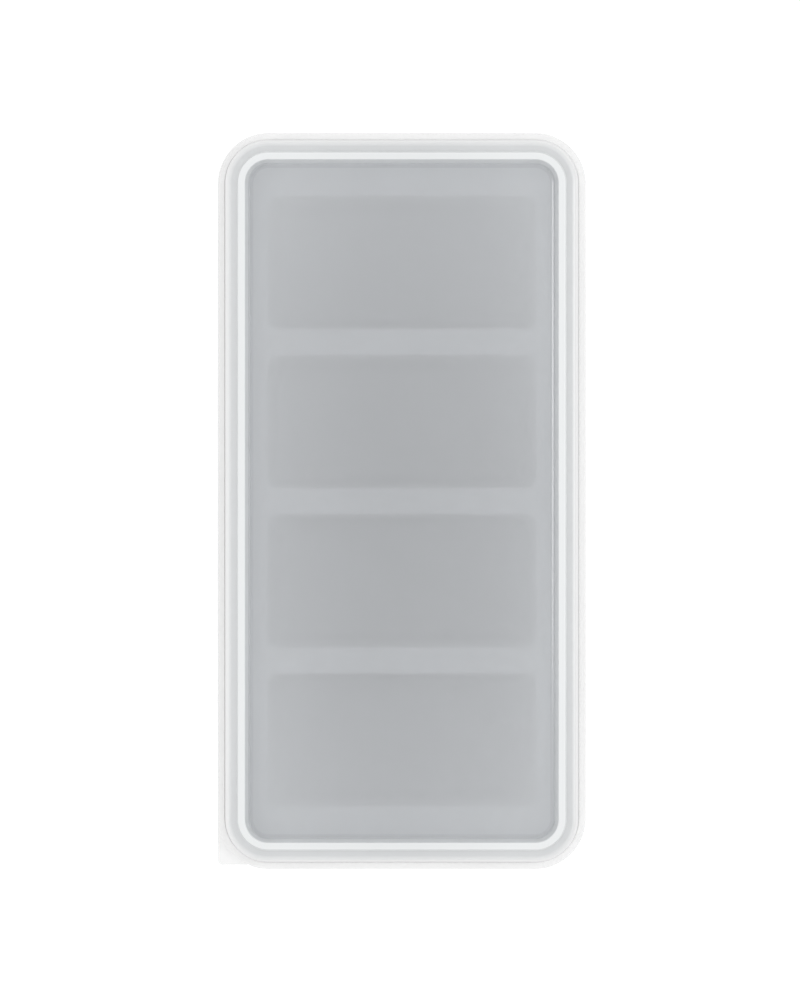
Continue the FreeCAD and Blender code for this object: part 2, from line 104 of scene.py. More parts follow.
def floor_material():
    """A pale matt table top that shows as white, and darker where the tray shades it."""
    material, tree = new_material("table_top")
    tree.nodes.clear()
    out = add_node(tree, "ShaderNodeOutputMaterial", (400, 0))
    plain = add_node(tree, "ShaderNodeBsdfDiffuse", (-300, 0), {"Color": FLOOR_WHITE})
    shaded = add_node(tree, "ShaderNodeBsdfDiffuse", (-300, -150), {"Color": FLOOR_SHADED})
    glow = add_node(tree, "ShaderNodeEmission", (-300, -300), {"Strength": FLOOR_GLOW})
    both = add_node(tree, "ShaderNodeAddShader", (-100, -200))
    mix = add_node(tree, "ShaderNodeMixShader", (200, 0))
    tree.links.new(shaded.outputs[0], both.inputs[0])
    tree.links.new(glow.outputs[0], both.inputs[1])
    tree.links.new(seen_directly(tree), mix.inputs[0])
    tree.links.new(plain.outputs[0], mix.inputs[1])
    tree.links.new(both.outputs[0], mix.inputs[2])
    tree.links.new(mix.outputs[0], out.inputs["Surface"])
    return material


def studio_world():
    """An even white sky, at full white where it is seen."""
    world = bpy.data.worlds.new("studio")
    world.use_nodes = True
    tree = world.node_tree
    tree.nodes.clear()
    out = add_node(tree, "ShaderNodeOutputWorld", (400, 0))
    lit = add_node(tree, "ShaderNodeBackground", (-100, 0), {"Color": SKY_WHITE, "Strength": SKY_STRENGTH})
    seen = add_node(tree, "ShaderNodeBackground", (-100, -150), {"Color": SKY_WHITE})
    mix = add_node(tree, "ShaderNodeMixShader", (200, 0))
    tree.links.new(seen_directly(tree), mix.inputs[0])
    tree.links.new(lit.outputs[0], mix.inputs[1])
    tree.links.new(seen.outputs[0], mix.inputs[2])
    tree.links.new(mix.outputs[0], out.inputs["Surface"])
    return world


floor_mesh = bpy.data.meshes.new("table_top")
floor_corners = [(-FLOOR_HALF, -FLOOR_HALF), (FLOOR_HALF, -FLOOR_HALF),
                 (FLOOR_HALF, FLOOR_HALF), (-FLOOR_HALF, FLOOR_HALF)]
floor_mesh.from_pydata([(x, y, 0.0) for x, y in floor_corners], [], [(0, 1, 2, 3)])
floor_mesh.materials.append(floor_material())
table_top = new_object("table_top", floor_mesh)

bpy.context.scene.world = studio_world()
for name, place, size, power in LAMPS:
    light = bpy.data.lights.new(name, "AREA")
    light.size = size
    light.energy = power
    lamp = new_object(name, light)
    lamp.location = place
    lamp.rotation_euler = place.to_track_quat("Z", "Y").to_euler()

lens = bpy.data.cameras.new("camera")
lens.lens = CAMERA_LENS
lens.sensor_width = SENSOR
lens.clip_end = VIEW_DEPTH
camera = new_object("camera", lens)
camera.location = CAMERA_SHIFT + Vector((0, 0, LIP_LEVEL + FRAME_HEIGHT * CAMERA_LENS / SENSOR))
bpy.context.scene.camera = camera
bpy.context.scene.view_settings.view_transform = "Standard"


# ---- Silicone tray ----
# One soft moulding in cool grey silicone: four deep pods hang from a deck, inside a rim with a
# raised bead that the lid seals on. The rim is moulded round a steel wire, and rows of notches
# under it show where the mould held the wire.
MM = 0.001
POD_COUNT = 4
POD_LENGTH = 99.4 * MM
POD_WIDTH = 49.2 * MM
POD_WEB = 9.7 * MM
POD_LEAN = math.radians(3.0)
POD_CORNER = 4.0 * MM
POD_WALL = 2.2 * MM
POD_FLOOR = 2.4 * MM
DECK_THICKNESS = 2.5 * MM
MOUTH_ROUND = 0.35 * MM
ROOT_ROUND = 1.0 * MM
LEAST_ROUND = 0.1 * MM
DECK_STRIP = 1.0 * MM
RIM_CORNER = 14.9 * MM
RIM_WIDTH = 5.7 * MM
RIM_HEIGHT = 5.5 * MM
RIM_ROUND = 0.6 * MM
RIM_INNER_ROUND = 0.8 * MM
RIM_ROOT_ROUND = 0.5 * MM
BEAD_WIDTH = 3.33 * MM
BEAD_HEIGHT = 3.0 * MM
BEAD_ROUND = 1.0 * MM
BEAD_ROOT_ROUND = 0.4 * MM
HOLDING = 0.25 * MM
NOTCH_LENGTH = 3.0 * MM
NOTCH_WIDTH = 1.2 * MM
NOTCH_MARGIN = 12.0 * MM
SIDE_NOTCHES = 5
END_NOTCHES = 3
PARTING_LINE = 0.08 * MM
ARC_STEPS = 6
RIM_STEPS = 20
POD_STEPS = 10
SHARP_ANGLE = math.radians(40)
LEVEL_SLACK = 0.02 * MM
WELD = 0.005 * MM
SAME_POINT = 0.002 * MM
LEAST_EDGE = 0.001 * MM
SILICONE_GREY = (0.255, 0.266, 0.278, 1.0)
SILICONE_PALE = (0.280, 0.292, 0.305, 1.0)

tray_low, tray_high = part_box("silicone_tray")
core_x = tray_high.x - RIM_CORNER
core_y = tray_high.y - RIM_CORNER
deck_top = tray_high.z - BEAD_HEIGHT
deck_foot = deck_top - DECK_THICKNESS
rim_foot = deck_top - RIM_HEIGHT
wire_level = deck_top - RIM_HEIGHT / 2
wire_reach = RIM_CORNER - RIM_WIDTH / 2


def rounded_line(corners):
    """A line through corners, each given as (across, up, radius), with its corners rounded.

    A short flat is kept beside every arc, so that a large face beside it stays flat in the light.
    """
    points = [Vector(corners[0][:2])]
    for before, corner, after in zip(corners, corners[1:], corners[2:]):
        middle = Vector(corner[:2])
        come = (middle - Vector(before[:2])).normalized()
        go = (Vector(after[:2]) - middle).normalized()
        turn = come.angle(go)
        cut = corner[2] * math.tan(turn / 2)
        if cut == 0:
            points.append(middle)
            continue
        side = 1 if come.cross(go) > 0 else -1
        centre = middle - come * cut + Vector((-come.y, come.x)) * side * corner[2]
        start = middle - come * cut - centre
        if (points[-1] - middle).length > cut + 2 * HOLDING:
            points.append(middle - come * (cut + HOLDING))
        for step in range(ARC_STEPS + 1):
            angle = side * turn * step / ARC_STEPS
            swing = Vector((start.x * math.cos(angle) - start.y * math.sin(angle),
                            start.x * math.sin(angle) + start.y * math.cos(angle)))
            points.append(centre + swing)
        if (Vector(after[:2]) - middle).length > cut + 2 * HOLDING:
            points.append(middle + go * (cut + HOLDING))
    points.append(Vector(corners[-1][:2]))
    return points


def section_object(name, points, closed=False):
    """An upright section as loose edges: across is X, up is Z."""
    mesh = bpy.data.meshes.new(name)
    edges = [(number, number + 1) for number in range(len(points) - 1)]
    if closed:
        edges.append((len(points) - 1, 0))
    mesh.from_pydata([(point.x, 0, point.y) for point in points], edges, [])
    return new_object(name, mesh)


def rounded_rectangle(half_x, half_y, radius, level):
    """The points of a rounded rectangle, counter-clockwise."""
    points = []
    for quarter, (side_x, side_y) in enumerate(((1, 1), (-1, 1), (-1, -1), (1, -1))):
        centre = Vector((side_x * (half_x - radius), side_y * (half_y - radius), level))
        for step in range(POD_STEPS + 1):
            angle = (quarter + step / POD_STEPS) * math.pi / 2
            points.append(centre + radius * Vector((math.cos(angle), math.sin(angle), 0)))
    return points


def add_skin(builder, profile, half_x, half_y, corner, hollow):
    """A skin of rings down a pod, from its mouth to a closed floor. It faces into a hollow pod."""
    rings = []
    skin = []
    for across, level in profile:
        lean = (level - deck_top) * math.tan(POD_LEAN)
        radius = max(corner + across - lean, LEAST_ROUND)
        outline = rounded_rectangle(half_x + across, half_y + across, radius, level)
        rings.append([builder.verts.new(point) for point in outline])
    for ring, lower in zip(rings, rings[1:]):
        for here, after in zip(range(len(ring)), [*range(1, len(ring)), 0]):
            skin.append(builder.faces.new((ring[here], ring[after], lower[after], lower[here])))
    skin.append(builder.faces.new(rings[-1]))
    if not hollow:
        bmesh.ops.reverse_faces(builder, faces=skin)


def pod_profile(top, floor_round, mouth_round, floor_level):
    """The line of a pod's wall from a flat round its mouth down to a flat floor."""
    lean = math.tan(POD_LEAN)
    return rounded_line((
        (mouth_round + 2 * HOLDING, top, 0),
        (-(deck_top - top) * lean, top, mouth_round),
        (-(deck_top - floor_level) * lean, floor_level, floor_round),
        (-(deck_top - floor_level) * lean - floor_round - 2 * HOLDING, floor_level, 0),
    ))


def make_pod():
    """One pod, inside and outside, open at the deck."""
    builder = bmesh.new()
    inside = pod_profile(deck_top, POD_CORNER, MOUTH_ROUND, tray_low.z + POD_FLOOR)
    add_skin(builder, inside, POD_LENGTH / 2, POD_WIDTH / 2, POD_CORNER, hollow=True)
    wall = POD_WALL / math.cos(POD_LEAN)
    block_corner = POD_CORNER + POD_WALL
    outside = pod_profile(deck_foot, block_corner, ROOT_ROUND, tray_low.z)
    add_skin(builder, outside, POD_LENGTH / 2 + wall, POD_WIDTH / 2 + wall, block_corner, hollow=False)
    mesh = bpy.data.meshes.new("pod")
    builder.to_mesh(mesh)
    builder.free()
    return new_object("pod", mesh)


def new_tree(name, *inputs):
    """An empty Geometry Nodes tree with its named inputs, each given as (name, kind)."""
    tree = bpy.data.node_groups.new(name, "GeometryNodeTree")
    tree.interface.new_socket("Section", in_out="INPUT", socket_type="NodeSocketGeometry")
    for title, kind in inputs:
        tree.interface.new_socket(title, in_out="INPUT", socket_type=f"NodeSocket{kind}")
    tree.interface.new_socket("Piece", in_out="OUTPUT", socket_type="NodeSocketGeometry")
    return tree, add_node(tree, "NodeGroupInput", (-1600, 0)), add_node(tree, "NodeGroupOutput", (2200, 0))


def sweep_round_rim(tree, start, section):
    """Nodes that carry a section round the rim. Across in the section is the reach from the core."""
    def whole_side(half_core, reach, place):
        half = add_node(tree, "ShaderNodeMath", (place[0], place[1]), operation="ADD")
        whole = add_node(tree, "ShaderNodeMath", (place[0] + 180, place[1]), {1: 2.0}, operation="MULTIPLY")
        tree.links.new(half_core, half.inputs[0])
        tree.links.new(reach, half.inputs[1])
        tree.links.new(half.outputs[0], whole.inputs[0])
        return whole.outputs[0]

    reach = start.outputs["Path reach"]
    path = add_node(tree, "GeometryNodeCurvePrimitiveQuadrilateral", (-1000, 400))
    tree.links.new(whole_side(start.outputs["Core X"], reach, (-1400, 500)), path.inputs["Width"])
    tree.links.new(whole_side(start.outputs["Core Y"], reach, (-1400, 300)), path.inputs["Height"])
    corners = add_node(tree, "GeometryNodeFilletCurve", (-800, 400), mode="POLY")
    tree.links.new(path.outputs[0], corners.inputs["Curve"])
    tree.links.new(start.outputs["Corner steps"], corners.inputs["Count"])
    tree.links.new(reach, corners.inputs["Radius"])
    back = add_node(tree, "ShaderNodeMath", (-1200, -100), {1: -1.0}, operation="MULTIPLY")
    tree.links.new(reach, back.inputs[0])
    shift = add_node(tree, "ShaderNodeCombineXYZ", (-1000, -100))
    tree.links.new(back.outputs[0], shift.inputs["X"])
    lay = add_node(tree, "GeometryNodeTransform", (-800, 0), {"Rotation": (math.pi / 2, 0, 0)})
    tree.links.new(section, lay.inputs["Geometry"])
    tree.links.new(shift.outputs[0], lay.inputs["Translation"])
    line = add_node(tree, "GeometryNodeMeshToCurve", (-600, 0))
    tree.links.new(lay.outputs[0], line.inputs["Mesh"])
    sweep = add_node(tree, "GeometryNodeCurveToMesh", (-400, 200))
    tree.links.new(corners.outputs[0], sweep.inputs["Curve"])
    tree.links.new(line.outputs[0], sweep.inputs["Profile Curve"])
    return sweep.outputs[0]


def close_at(tree, geometry, level, place, facing_down=False):
    """Nodes that span a flat sheet between all the open edges at a level."""
    x, y = place
    near = add_node(tree, "ShaderNodeMath", (x, y - 200), {2: LEVEL_SLACK}, operation="COMPARE")
    spot = add_node(tree, "GeometryNodeInputPosition", (x - 400, y - 200))
    parts = add_node(tree, "ShaderNodeSeparateXYZ", (x - 200, y - 200))
    tree.links.new(spot.outputs[0], parts.inputs[0])
    tree.links.new(parts.outputs["Z"], near.inputs[0])
    tree.links.new(level, near.inputs[1])
    sides = add_node(tree, "GeometryNodeInputMeshEdgeNeighbors", (x - 200, y - 400))
    open_edge = add_node(tree, "ShaderNodeMath", (x, y - 400), {1: 1.0, 2: 0.1}, operation="COMPARE")
    tree.links.new(sides.outputs[0], open_edge.inputs[0])
    chosen = add_node(tree, "ShaderNodeMath", (x + 200, y - 300), operation="MULTIPLY")
    tree.links.new(near.outputs[0], chosen.inputs[0])
    tree.links.new(open_edge.outputs[0], chosen.inputs[1])
    loops = add_node(tree, "GeometryNodeMeshToCurve", (x + 400, y))
    tree.links.new(geometry, loops.inputs["Mesh"])
    tree.links.new(chosen.outputs[0], loops.inputs["Selection"])
    sheet = add_node(tree, "GeometryNodeFillCurve", (x + 600, y), mode="TRIANGLES")
    tree.links.new(loops.outputs[0], sheet.inputs["Curve"])
    lift = add_node(tree, "ShaderNodeCombineXYZ", (x + 600, y - 200))
    tree.links.new(level, lift.inputs["Z"])
    raised = add_node(tree, "GeometryNodeTransform", (x + 800, y))
    tree.links.new(sheet.outputs[0], raised.inputs["Geometry"])
    tree.links.new(lift.outputs[0], raised.inputs["Translation"])
    if not facing_down:
        return raised.outputs[0]
    turned = add_node(tree, "GeometryNodeFlipFaces", (x + 1000, y))
    tree.links.new(raised.outputs[0], turned.inputs["Mesh"])
    return turned.outputs[0]


def joined(tree, place, *parts):
    """Nodes that join parts and weld them where they meet."""
    join = add_node(tree, "GeometryNodeJoinGeometry", place)
    for part in parts:
        tree.links.new(part, join.inputs[0])
    weld = add_node(tree, "GeometryNodeMergeByDistance", (place[0] + 200, place[1]), {"Distance": WELD})
    tree.links.new(join.outputs[0], weld.inputs["Geometry"])
    return weld.outputs[0]


def finish_tree(tree, geometry, material_socket, out):
    """Nodes that end a tree: nothing is left instanced, and the piece has its material."""
    real = add_node(tree, "GeometryNodeRealizeInstances", (1800, 0))
    dressed = add_node(tree, "GeometryNodeSetMaterial", (2000, 0))
    tree.links.new(geometry, real.inputs["Geometry"])
    tree.links.new(real.outputs[0], dressed.inputs["Geometry"])
    tree.links.new(material_socket, dressed.inputs["Material"])
    tree.links.new(dressed.outputs[0], out.inputs[0])


def grow(source, tree, values, name):
    """The plain mesh object that a tree makes from a section, with smooth faces and sharp corners."""
    modifier = source.modifiers.new(tree.name, "NODES")
    modifier.node_group = tree
    sockets = {item.name: item.identifier for item in tree.interface.items_tree if item.in_out == "INPUT"}
    for title, value in values.items():
        modifier[sockets[title]] = value
    graph = bpy.context.evaluated_depsgraph_get()
    mesh = bpy.data.meshes.new_from_object(source.evaluated_get(graph))
    source.modifiers.remove(modifier)
    builder = bmesh.new()
    builder.from_mesh(mesh)
    bmesh.ops.remove_doubles(builder, verts=builder.verts, dist=SAME_POINT)
    bmesh.ops.dissolve_degenerate(builder, edges=builder.edges, dist=LEAST_EDGE)
    bmesh.ops.recalc_face_normals(builder, faces=builder.faces)
    builder.to_mesh(mesh)
    builder.free()
    mesh.shade_smooth()
    mesh.set_sharp_from_angle(angle=SHARP_ANGLE)
    mesh.name = name
    return new_object(name, mesh)


def notch_row(tree, start, along, side):
    """Nodes for the cutters of one row of notches, spread evenly along a straight run of the rim."""
    def sum_of(place, first, second, operation="ADD"):
        node = add_node(tree, "ShaderNodeMath", place, operation=operation)
        for number, value in enumerate((first, second)):
            if isinstance(value, (int, float)):
                node.inputs[number].default_value = value
            else:
                tree.links.new(value, node.inputs[number])
        return node.outputs[0]

    across = "X" if along == "Y" else "Y"
    x, y = -1600, -1200 - 700 * ("XY".index(along) + (side + 1))
    out_to = sum_of((x, y), start.outputs[f"Core {across}"], start.outputs["Path reach"])
    line = sum_of((x + 180, y), out_to, side, "MULTIPLY")
    end = sum_of((x, y - 200), start.outputs[f"Core {along}"], start.outputs["Notch margin"], "SUBTRACT")
    first = sum_of((x + 180, y - 200), end, -1, "MULTIPLY")
    count = start.outputs["Side notches" if along == "Y" else "End notches"]
    spaces = sum_of((x, y - 400), count, 1, "SUBTRACT")
    span = sum_of((x + 180, y - 400), end, 2, "MULTIPLY")
    pitch = sum_of((x + 360, y - 400), span, spaces, "DIVIDE")
    begin = add_node(tree, "ShaderNodeCombineXYZ", (x + 540, y))
    tree.links.new(line, begin.inputs[across])
    tree.links.new(first, begin.inputs[along])
    tree.links.new(start.outputs["Rim foot"], begin.inputs["Z"])
    stride = add_node(tree, "ShaderNodeCombineXYZ", (x + 540, y - 200))
    tree.links.new(pitch, stride.inputs[along])
    row = add_node(tree, "GeometryNodeMeshLine", (x + 720, y), mode="OFFSET")
    tree.links.new(count, row.inputs["Count"])
    tree.links.new(begin.outputs[0], row.inputs["Start Location"])
    tree.links.new(stride.outputs[0], row.inputs["Offset"])
    size = add_node(tree, "ShaderNodeCombineXYZ", (x + 720, y - 250))
    tree.links.new(start.outputs["Notch width"], size.inputs[across])
    tree.links.new(start.outputs["Notch length"], size.inputs[along])
    height = sum_of((x + 540, y - 400), start.outputs["Path drop"], 2, "MULTIPLY")
    tree.links.new(height, size.inputs["Z"])
    cutter = add_node(tree, "GeometryNodeMeshCube", (x + 900, y - 250))
    tree.links.new(size.outputs[0], cutter.inputs["Size"])
    copies = add_node(tree, "GeometryNodeInstanceOnPoints", (x + 1080, y))
    tree.links.new(row.outputs[0], copies.inputs["Points"])
    tree.links.new(cutter.outputs[0], copies.inputs["Instance"])
    real = add_node(tree, "GeometryNodeRealizeInstances", (x + 1260, y))
    tree.links.new(copies.outputs[0], real.inputs["Geometry"])
    return real.outputs[0]


def tray_tree():
    """Rim swept round the tray, pods in a row, deck between them, and the notches under the rim cut out."""
    tree, start, out = new_tree(
        "silicone_tray", ("Core X", "Float"), ("Core Y", "Float"), ("Path reach", "Float"),
        ("Corner steps", "Int"), ("Pod", "Object"), ("Pods", "Int"), ("Pod pitch", "Float"),
        ("Deck top", "Float"), ("Deck foot", "Float"), ("Rim foot", "Float"), ("Path drop", "Float"),
        ("Side notches", "Int"), ("End notches", "Int"), ("Notch margin", "Float"),
        ("Notch length", "Float"), ("Notch width", "Float"), ("Material", "Material"))
    rim = sweep_round_rim(tree, start, start.outputs["Section"])
    half = add_node(tree, "ShaderNodeMath", (-1200, -500), {1: 1.0}, operation="SUBTRACT")
    tree.links.new(start.outputs["Pods"], half.inputs[0])
    first = add_node(tree, "ShaderNodeMath", (-1000, -500), operation="MULTIPLY")
    tree.links.new(half.outputs[0], first.inputs[0])
    tree.links.new(start.outputs["Pod pitch"], first.inputs[1])
    centred = add_node(tree, "ShaderNodeMath", (-800, -500), {1: -0.5}, operation="MULTIPLY")
    tree.links.new(first.outputs[0], centred.inputs[0])
    begin = add_node(tree, "ShaderNodeCombineXYZ", (-600, -500))
    tree.links.new(centred.outputs[0], begin.inputs["Y"])
    stride = add_node(tree, "ShaderNodeCombineXYZ", (-600, -650))
    tree.links.new(start.outputs["Pod pitch"], stride.inputs["Y"])
    row = add_node(tree, "GeometryNodeMeshLine", (-400, -500), mode="OFFSET")
    tree.links.new(start.outputs["Pods"], row.inputs["Count"])
    tree.links.new(begin.outputs[0], row.inputs["Start Location"])
    tree.links.new(stride.outputs[0], row.inputs["Offset"])
    pod = add_node(tree, "GeometryNodeObjectInfo", (-400, -700))
    tree.links.new(start.outputs["Pod"], pod.inputs["Object"])
    pods = add_node(tree, "GeometryNodeInstanceOnPoints", (-200, -500))
    tree.links.new(row.outputs[0], pods.inputs["Points"])
    tree.links.new(pod.outputs["Geometry"], pods.inputs["Instance"])
    real = add_node(tree, "GeometryNodeRealizeInstances", (0, -500))
    tree.links.new(pods.outputs[0], real.inputs["Geometry"])
    shell = joined(tree, (0, 0), rim, real.outputs[0])
    top = close_at(tree, shell, start.outputs["Deck top"], (400, 400))
    foot = close_at(tree, shell, start.outputs["Deck foot"], (400, -400), facing_down=True)
    whole = joined(tree, (1300, 0), shell, top, foot)
    cut = add_node(tree, "GeometryNodeMeshBoolean", (1600, 0), operation="DIFFERENCE", solver="EXACT")
    tree.links.new(whole, cut.inputs["Mesh 1"])
    for along, side in (("Y", 1), ("Y", -1), ("X", 1), ("X", -1)):
        tree.links.new(notch_row(tree, start, along, side), cut.inputs["Mesh 2"])
    finish_tree(tree, cut.outputs["Mesh"], start.outputs["Material"], out)
    return tree


def silicone_material():
    """Matt silicone, cool grey, with the fine grain of a blasted mould and a faint cloudiness."""
    material, tree = new_material("silicone")
    shader = tree.nodes["Principled BSDF"]
    shader.inputs["Sheen Weight"].default_value = 0.12
    shader.inputs["Sheen Roughness"].default_value = 0.45
    shader.inputs["IOR"].default_value = 1.41
    place = add_node(tree, "ShaderNodeTexCoord", (-1200, 0))
    cloud = add_node(tree, "ShaderNodeTexNoise", (-900, 200), {"Scale": 28.0, "Detail": 4.0})
    tint = add_node(tree, "ShaderNodeValToRGB", (-600, 200))
    tint.color_ramp.elements[0].position = 0.35
    tint.color_ramp.elements[0].color = SILICONE_GREY
    tint.color_ramp.elements[1].position = 0.65
    tint.color_ramp.elements[1].color = SILICONE_PALE
    grain = add_node(tree, "ShaderNodeTexNoise", (-900, -200), {"Scale": 2600.0, "Detail": 3.0})
    polish = add_node(tree, "ShaderNodeMapRange", (-600, 0), {"To Min": 0.52, "To Max": 0.66})
    bump = add_node(tree, "ShaderNodeBump", (-300, -200), {"Strength": 0.25, "Distance": 0.05 * MM})
    tree.links.new(place.outputs["Object"], cloud.inputs["Vector"])
    tree.links.new(place.outputs["Object"], grain.inputs["Vector"])
    tree.links.new(cloud.outputs["Fac"], tint.inputs["Fac"])
    tree.links.new(tint.outputs["Color"], shader.inputs["Base Color"])
    tree.links.new(cloud.outputs["Fac"], polish.inputs["Value"])
    tree.links.new(polish.outputs[0], shader.inputs["Roughness"])
    tree.links.new(grain.outputs["Fac"], bump.inputs["Height"])
    tree.links.new(bump.outputs[0], shader.inputs["Normal"])
    return material


rim_section = section_object("rim_section", rounded_line((
    (RIM_CORNER - BEAD_WIDTH - DECK_STRIP, deck_top, 0),
    (RIM_CORNER - BEAD_WIDTH, deck_top, BEAD_ROOT_ROUND),
    (RIM_CORNER - BEAD_WIDTH, tray_high.z, BEAD_ROUND),
    (RIM_CORNER - PARTING_LINE, tray_high.z, BEAD_ROUND),
    (RIM_CORNER - PARTING_LINE, deck_top + PARTING_LINE, 0),
    (RIM_CORNER, deck_top, 0),
    (RIM_CORNER - PARTING_LINE, deck_top - PARTING_LINE, 0),
    (RIM_CORNER - PARTING_LINE, rim_foot, RIM_ROUND),
    (RIM_CORNER - RIM_WIDTH, rim_foot, RIM_INNER_ROUND),
    (RIM_CORNER - RIM_WIDTH, deck_foot, RIM_ROOT_ROUND),
    (RIM_CORNER - RIM_WIDTH - DECK_STRIP, deck_foot, 0),
)))
pod = make_pod()
tray = grow(rim_section, tray_tree(), {
    "Core X": core_x, "Core Y": core_y, "Path reach": wire_reach, "Corner steps": RIM_STEPS,
    "Pod": pod, "Pods": POD_COUNT, "Pod pitch": POD_WIDTH + POD_WEB,
    "Deck top": deck_top, "Deck foot": deck_foot, "Rim foot": rim_foot, "Path drop": wire_level - rim_foot,
    "Side notches": SIDE_NOTCHES, "End notches": END_NOTCHES, "Notch margin": NOTCH_MARGIN,
    "Notch length": NOTCH_LENGTH, "Notch width": NOTCH_WIDTH, "Material": silicone_material(),
}, "tray_moulding")
for scaffold in (rim_section, pod):
    bpy.data.objects.remove(scaffold)
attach(tray, "tray")
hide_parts("silicone_tray")


# ---- Rim wire ----
# A closed loop of drawn stainless steel wire, 3 mm thick, moulded into the rim. It is seen only
# in the notches under the rim.
WIRE_DIAMETER = 3.0 * MM
WIRE_SIDES = 24
STEEL = (0.62, 0.63, 0.64, 1.0)


def wire_tree():
    """A round section swept round the rim."""
    tree, start, out = new_tree(
        "rim_wire", ("Core X", "Float"), ("Core Y", "Float"), ("Path reach", "Float"),
        ("Corner steps", "Int"), ("Material", "Material"))
    loop = sweep_round_rim(tree, start, start.outputs["Section"])
    finish_tree(tree, loop, start.outputs["Material"], out)
    return tree


def steel_material():
    """Drawn steel, with fine lines."""
    material, tree = new_material("wire_steel")
    shader = tree.nodes["Principled BSDF"]
    shader.inputs["Base Color"].default_value = STEEL
    shader.inputs["Metallic"].default_value = 1.0
    place = add_node(tree, "ShaderNodeTexCoord", (-1000, 0))
    lines = add_node(tree, "ShaderNodeTexNoise", (-700, 0), {"Scale": 900.0, "Detail": 3.0})
    polish = add_node(tree, "ShaderNodeMapRange", (-400, 0), {"To Min": 0.22, "To Max": 0.42})
    tree.links.new(place.outputs["Object"], lines.inputs["Vector"])
    tree.links.new(lines.outputs["Fac"], polish.inputs["Value"])
    tree.links.new(polish.outputs[0], shader.inputs["Roughness"])
    return material


wire_angles = [2 * math.pi * number / WIRE_SIDES for number in range(WIRE_SIDES)]
wire_section = section_object("wire_section", [
    Vector((wire_reach, wire_level)) + WIRE_DIAMETER / 2 * Vector((math.cos(angle), math.sin(angle)))
    for angle in wire_angles], closed=True)
wire = grow(wire_section, wire_tree(), {
    "Core X": core_x, "Core Y": core_y, "Path reach": wire_reach, "Corner steps": RIM_STEPS,
    "Material": steel_material(),
}, "wire_loop")
bpy.data.objects.remove(wire_section)
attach(wire, "tray")
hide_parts("rim_wire")


# ---- Lid ----
# One thin moulding in frosted polypropylene. From the outside in: a flat lip, the skirt that snaps
# under the rim, a round shoulder, the channel over the bead, the solid sealing rib, a fine moat, and
# the panel in its recess. A thinner tab fills the lip out at one corner, to peel the lid up by.
LID_WALL = 1.2 * MM
LID_CLEARANCE = 0.4 * MM
LID_ROUND = 1.95 * MM
SKIRT_WALL = 0.8 * MM
SKIRT_DRAFT = 0.2 * MM
SKIRT_ROOT_ROUND = 0.3 * MM
CHANNEL_ROUND = 0.3 * MM
LIP_WIDTH = 2.8 * MM
LIP_THICKNESS = 1.0 * MM
LIP_ROUND = 0.4 * MM
LIP_FOOT_ROUND = 0.2 * MM
RIB_WIDTH = 2.5 * MM
RIB_CLEARANCE = 0.3 * MM
RIB_LEAN = 0.05 * MM
RIB_ROUND = 0.3 * MM
RIB_ROOT_ROUND = 0.25 * MM
RIB_LEAD = 0.6 * MM
RIB_SLOPE = 1.6 * MM
PANEL_GAP = 0.3 * MM
PANEL_STRIP = 1.5 * MM
MOAT_SLOPE = 0.9 * MM
MOAT_DEPTH = 0.21 * MM
MOAT_EDGE_ROUND = 0.6 * MM
MOAT_ROUND = 0.4 * MM
RIDGE_REACH = 0.25 * MM
RIDGE_LIFT = 0.6 * MM
RIDGE_HEIGHT = 1.2 * MM
RIDGE_ROUND = 0.1 * MM
RIDGE_ROOT_ROUND = 0.05 * MM
TAB_THICKNESS = 0.8 * MM
TAB_STEP = 1.6 * MM
TAB_CORNER = 1.8 * MM
SEAT_GAP = 0.05 * MM
LID_STEPS = 28

lid_low, lid_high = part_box("lid")
skirt_inner = RIM_CORNER + LID_CLEARANCE
skirt_outer = skirt_inner + SKIRT_WALL
lip_outer = skirt_outer + LIP_WIDTH
rib_outer = RIM_CORNER - BEAD_WIDTH - RIB_CLEARANCE
rib_inner = rib_outer - RIB_WIDTH
channel_roof = tray_high.z + SEAT_GAP
channel_top = tray_high.z + LID_WALL
panel_foot = deck_top + PANEL_GAP
panel_top = panel_foot + LID_WALL
moat_middle = rib_inner - RIB_SLOPE
moat_edge = moat_middle - MOAT_SLOPE
panel_edge = moat_edge - PANEL_STRIP
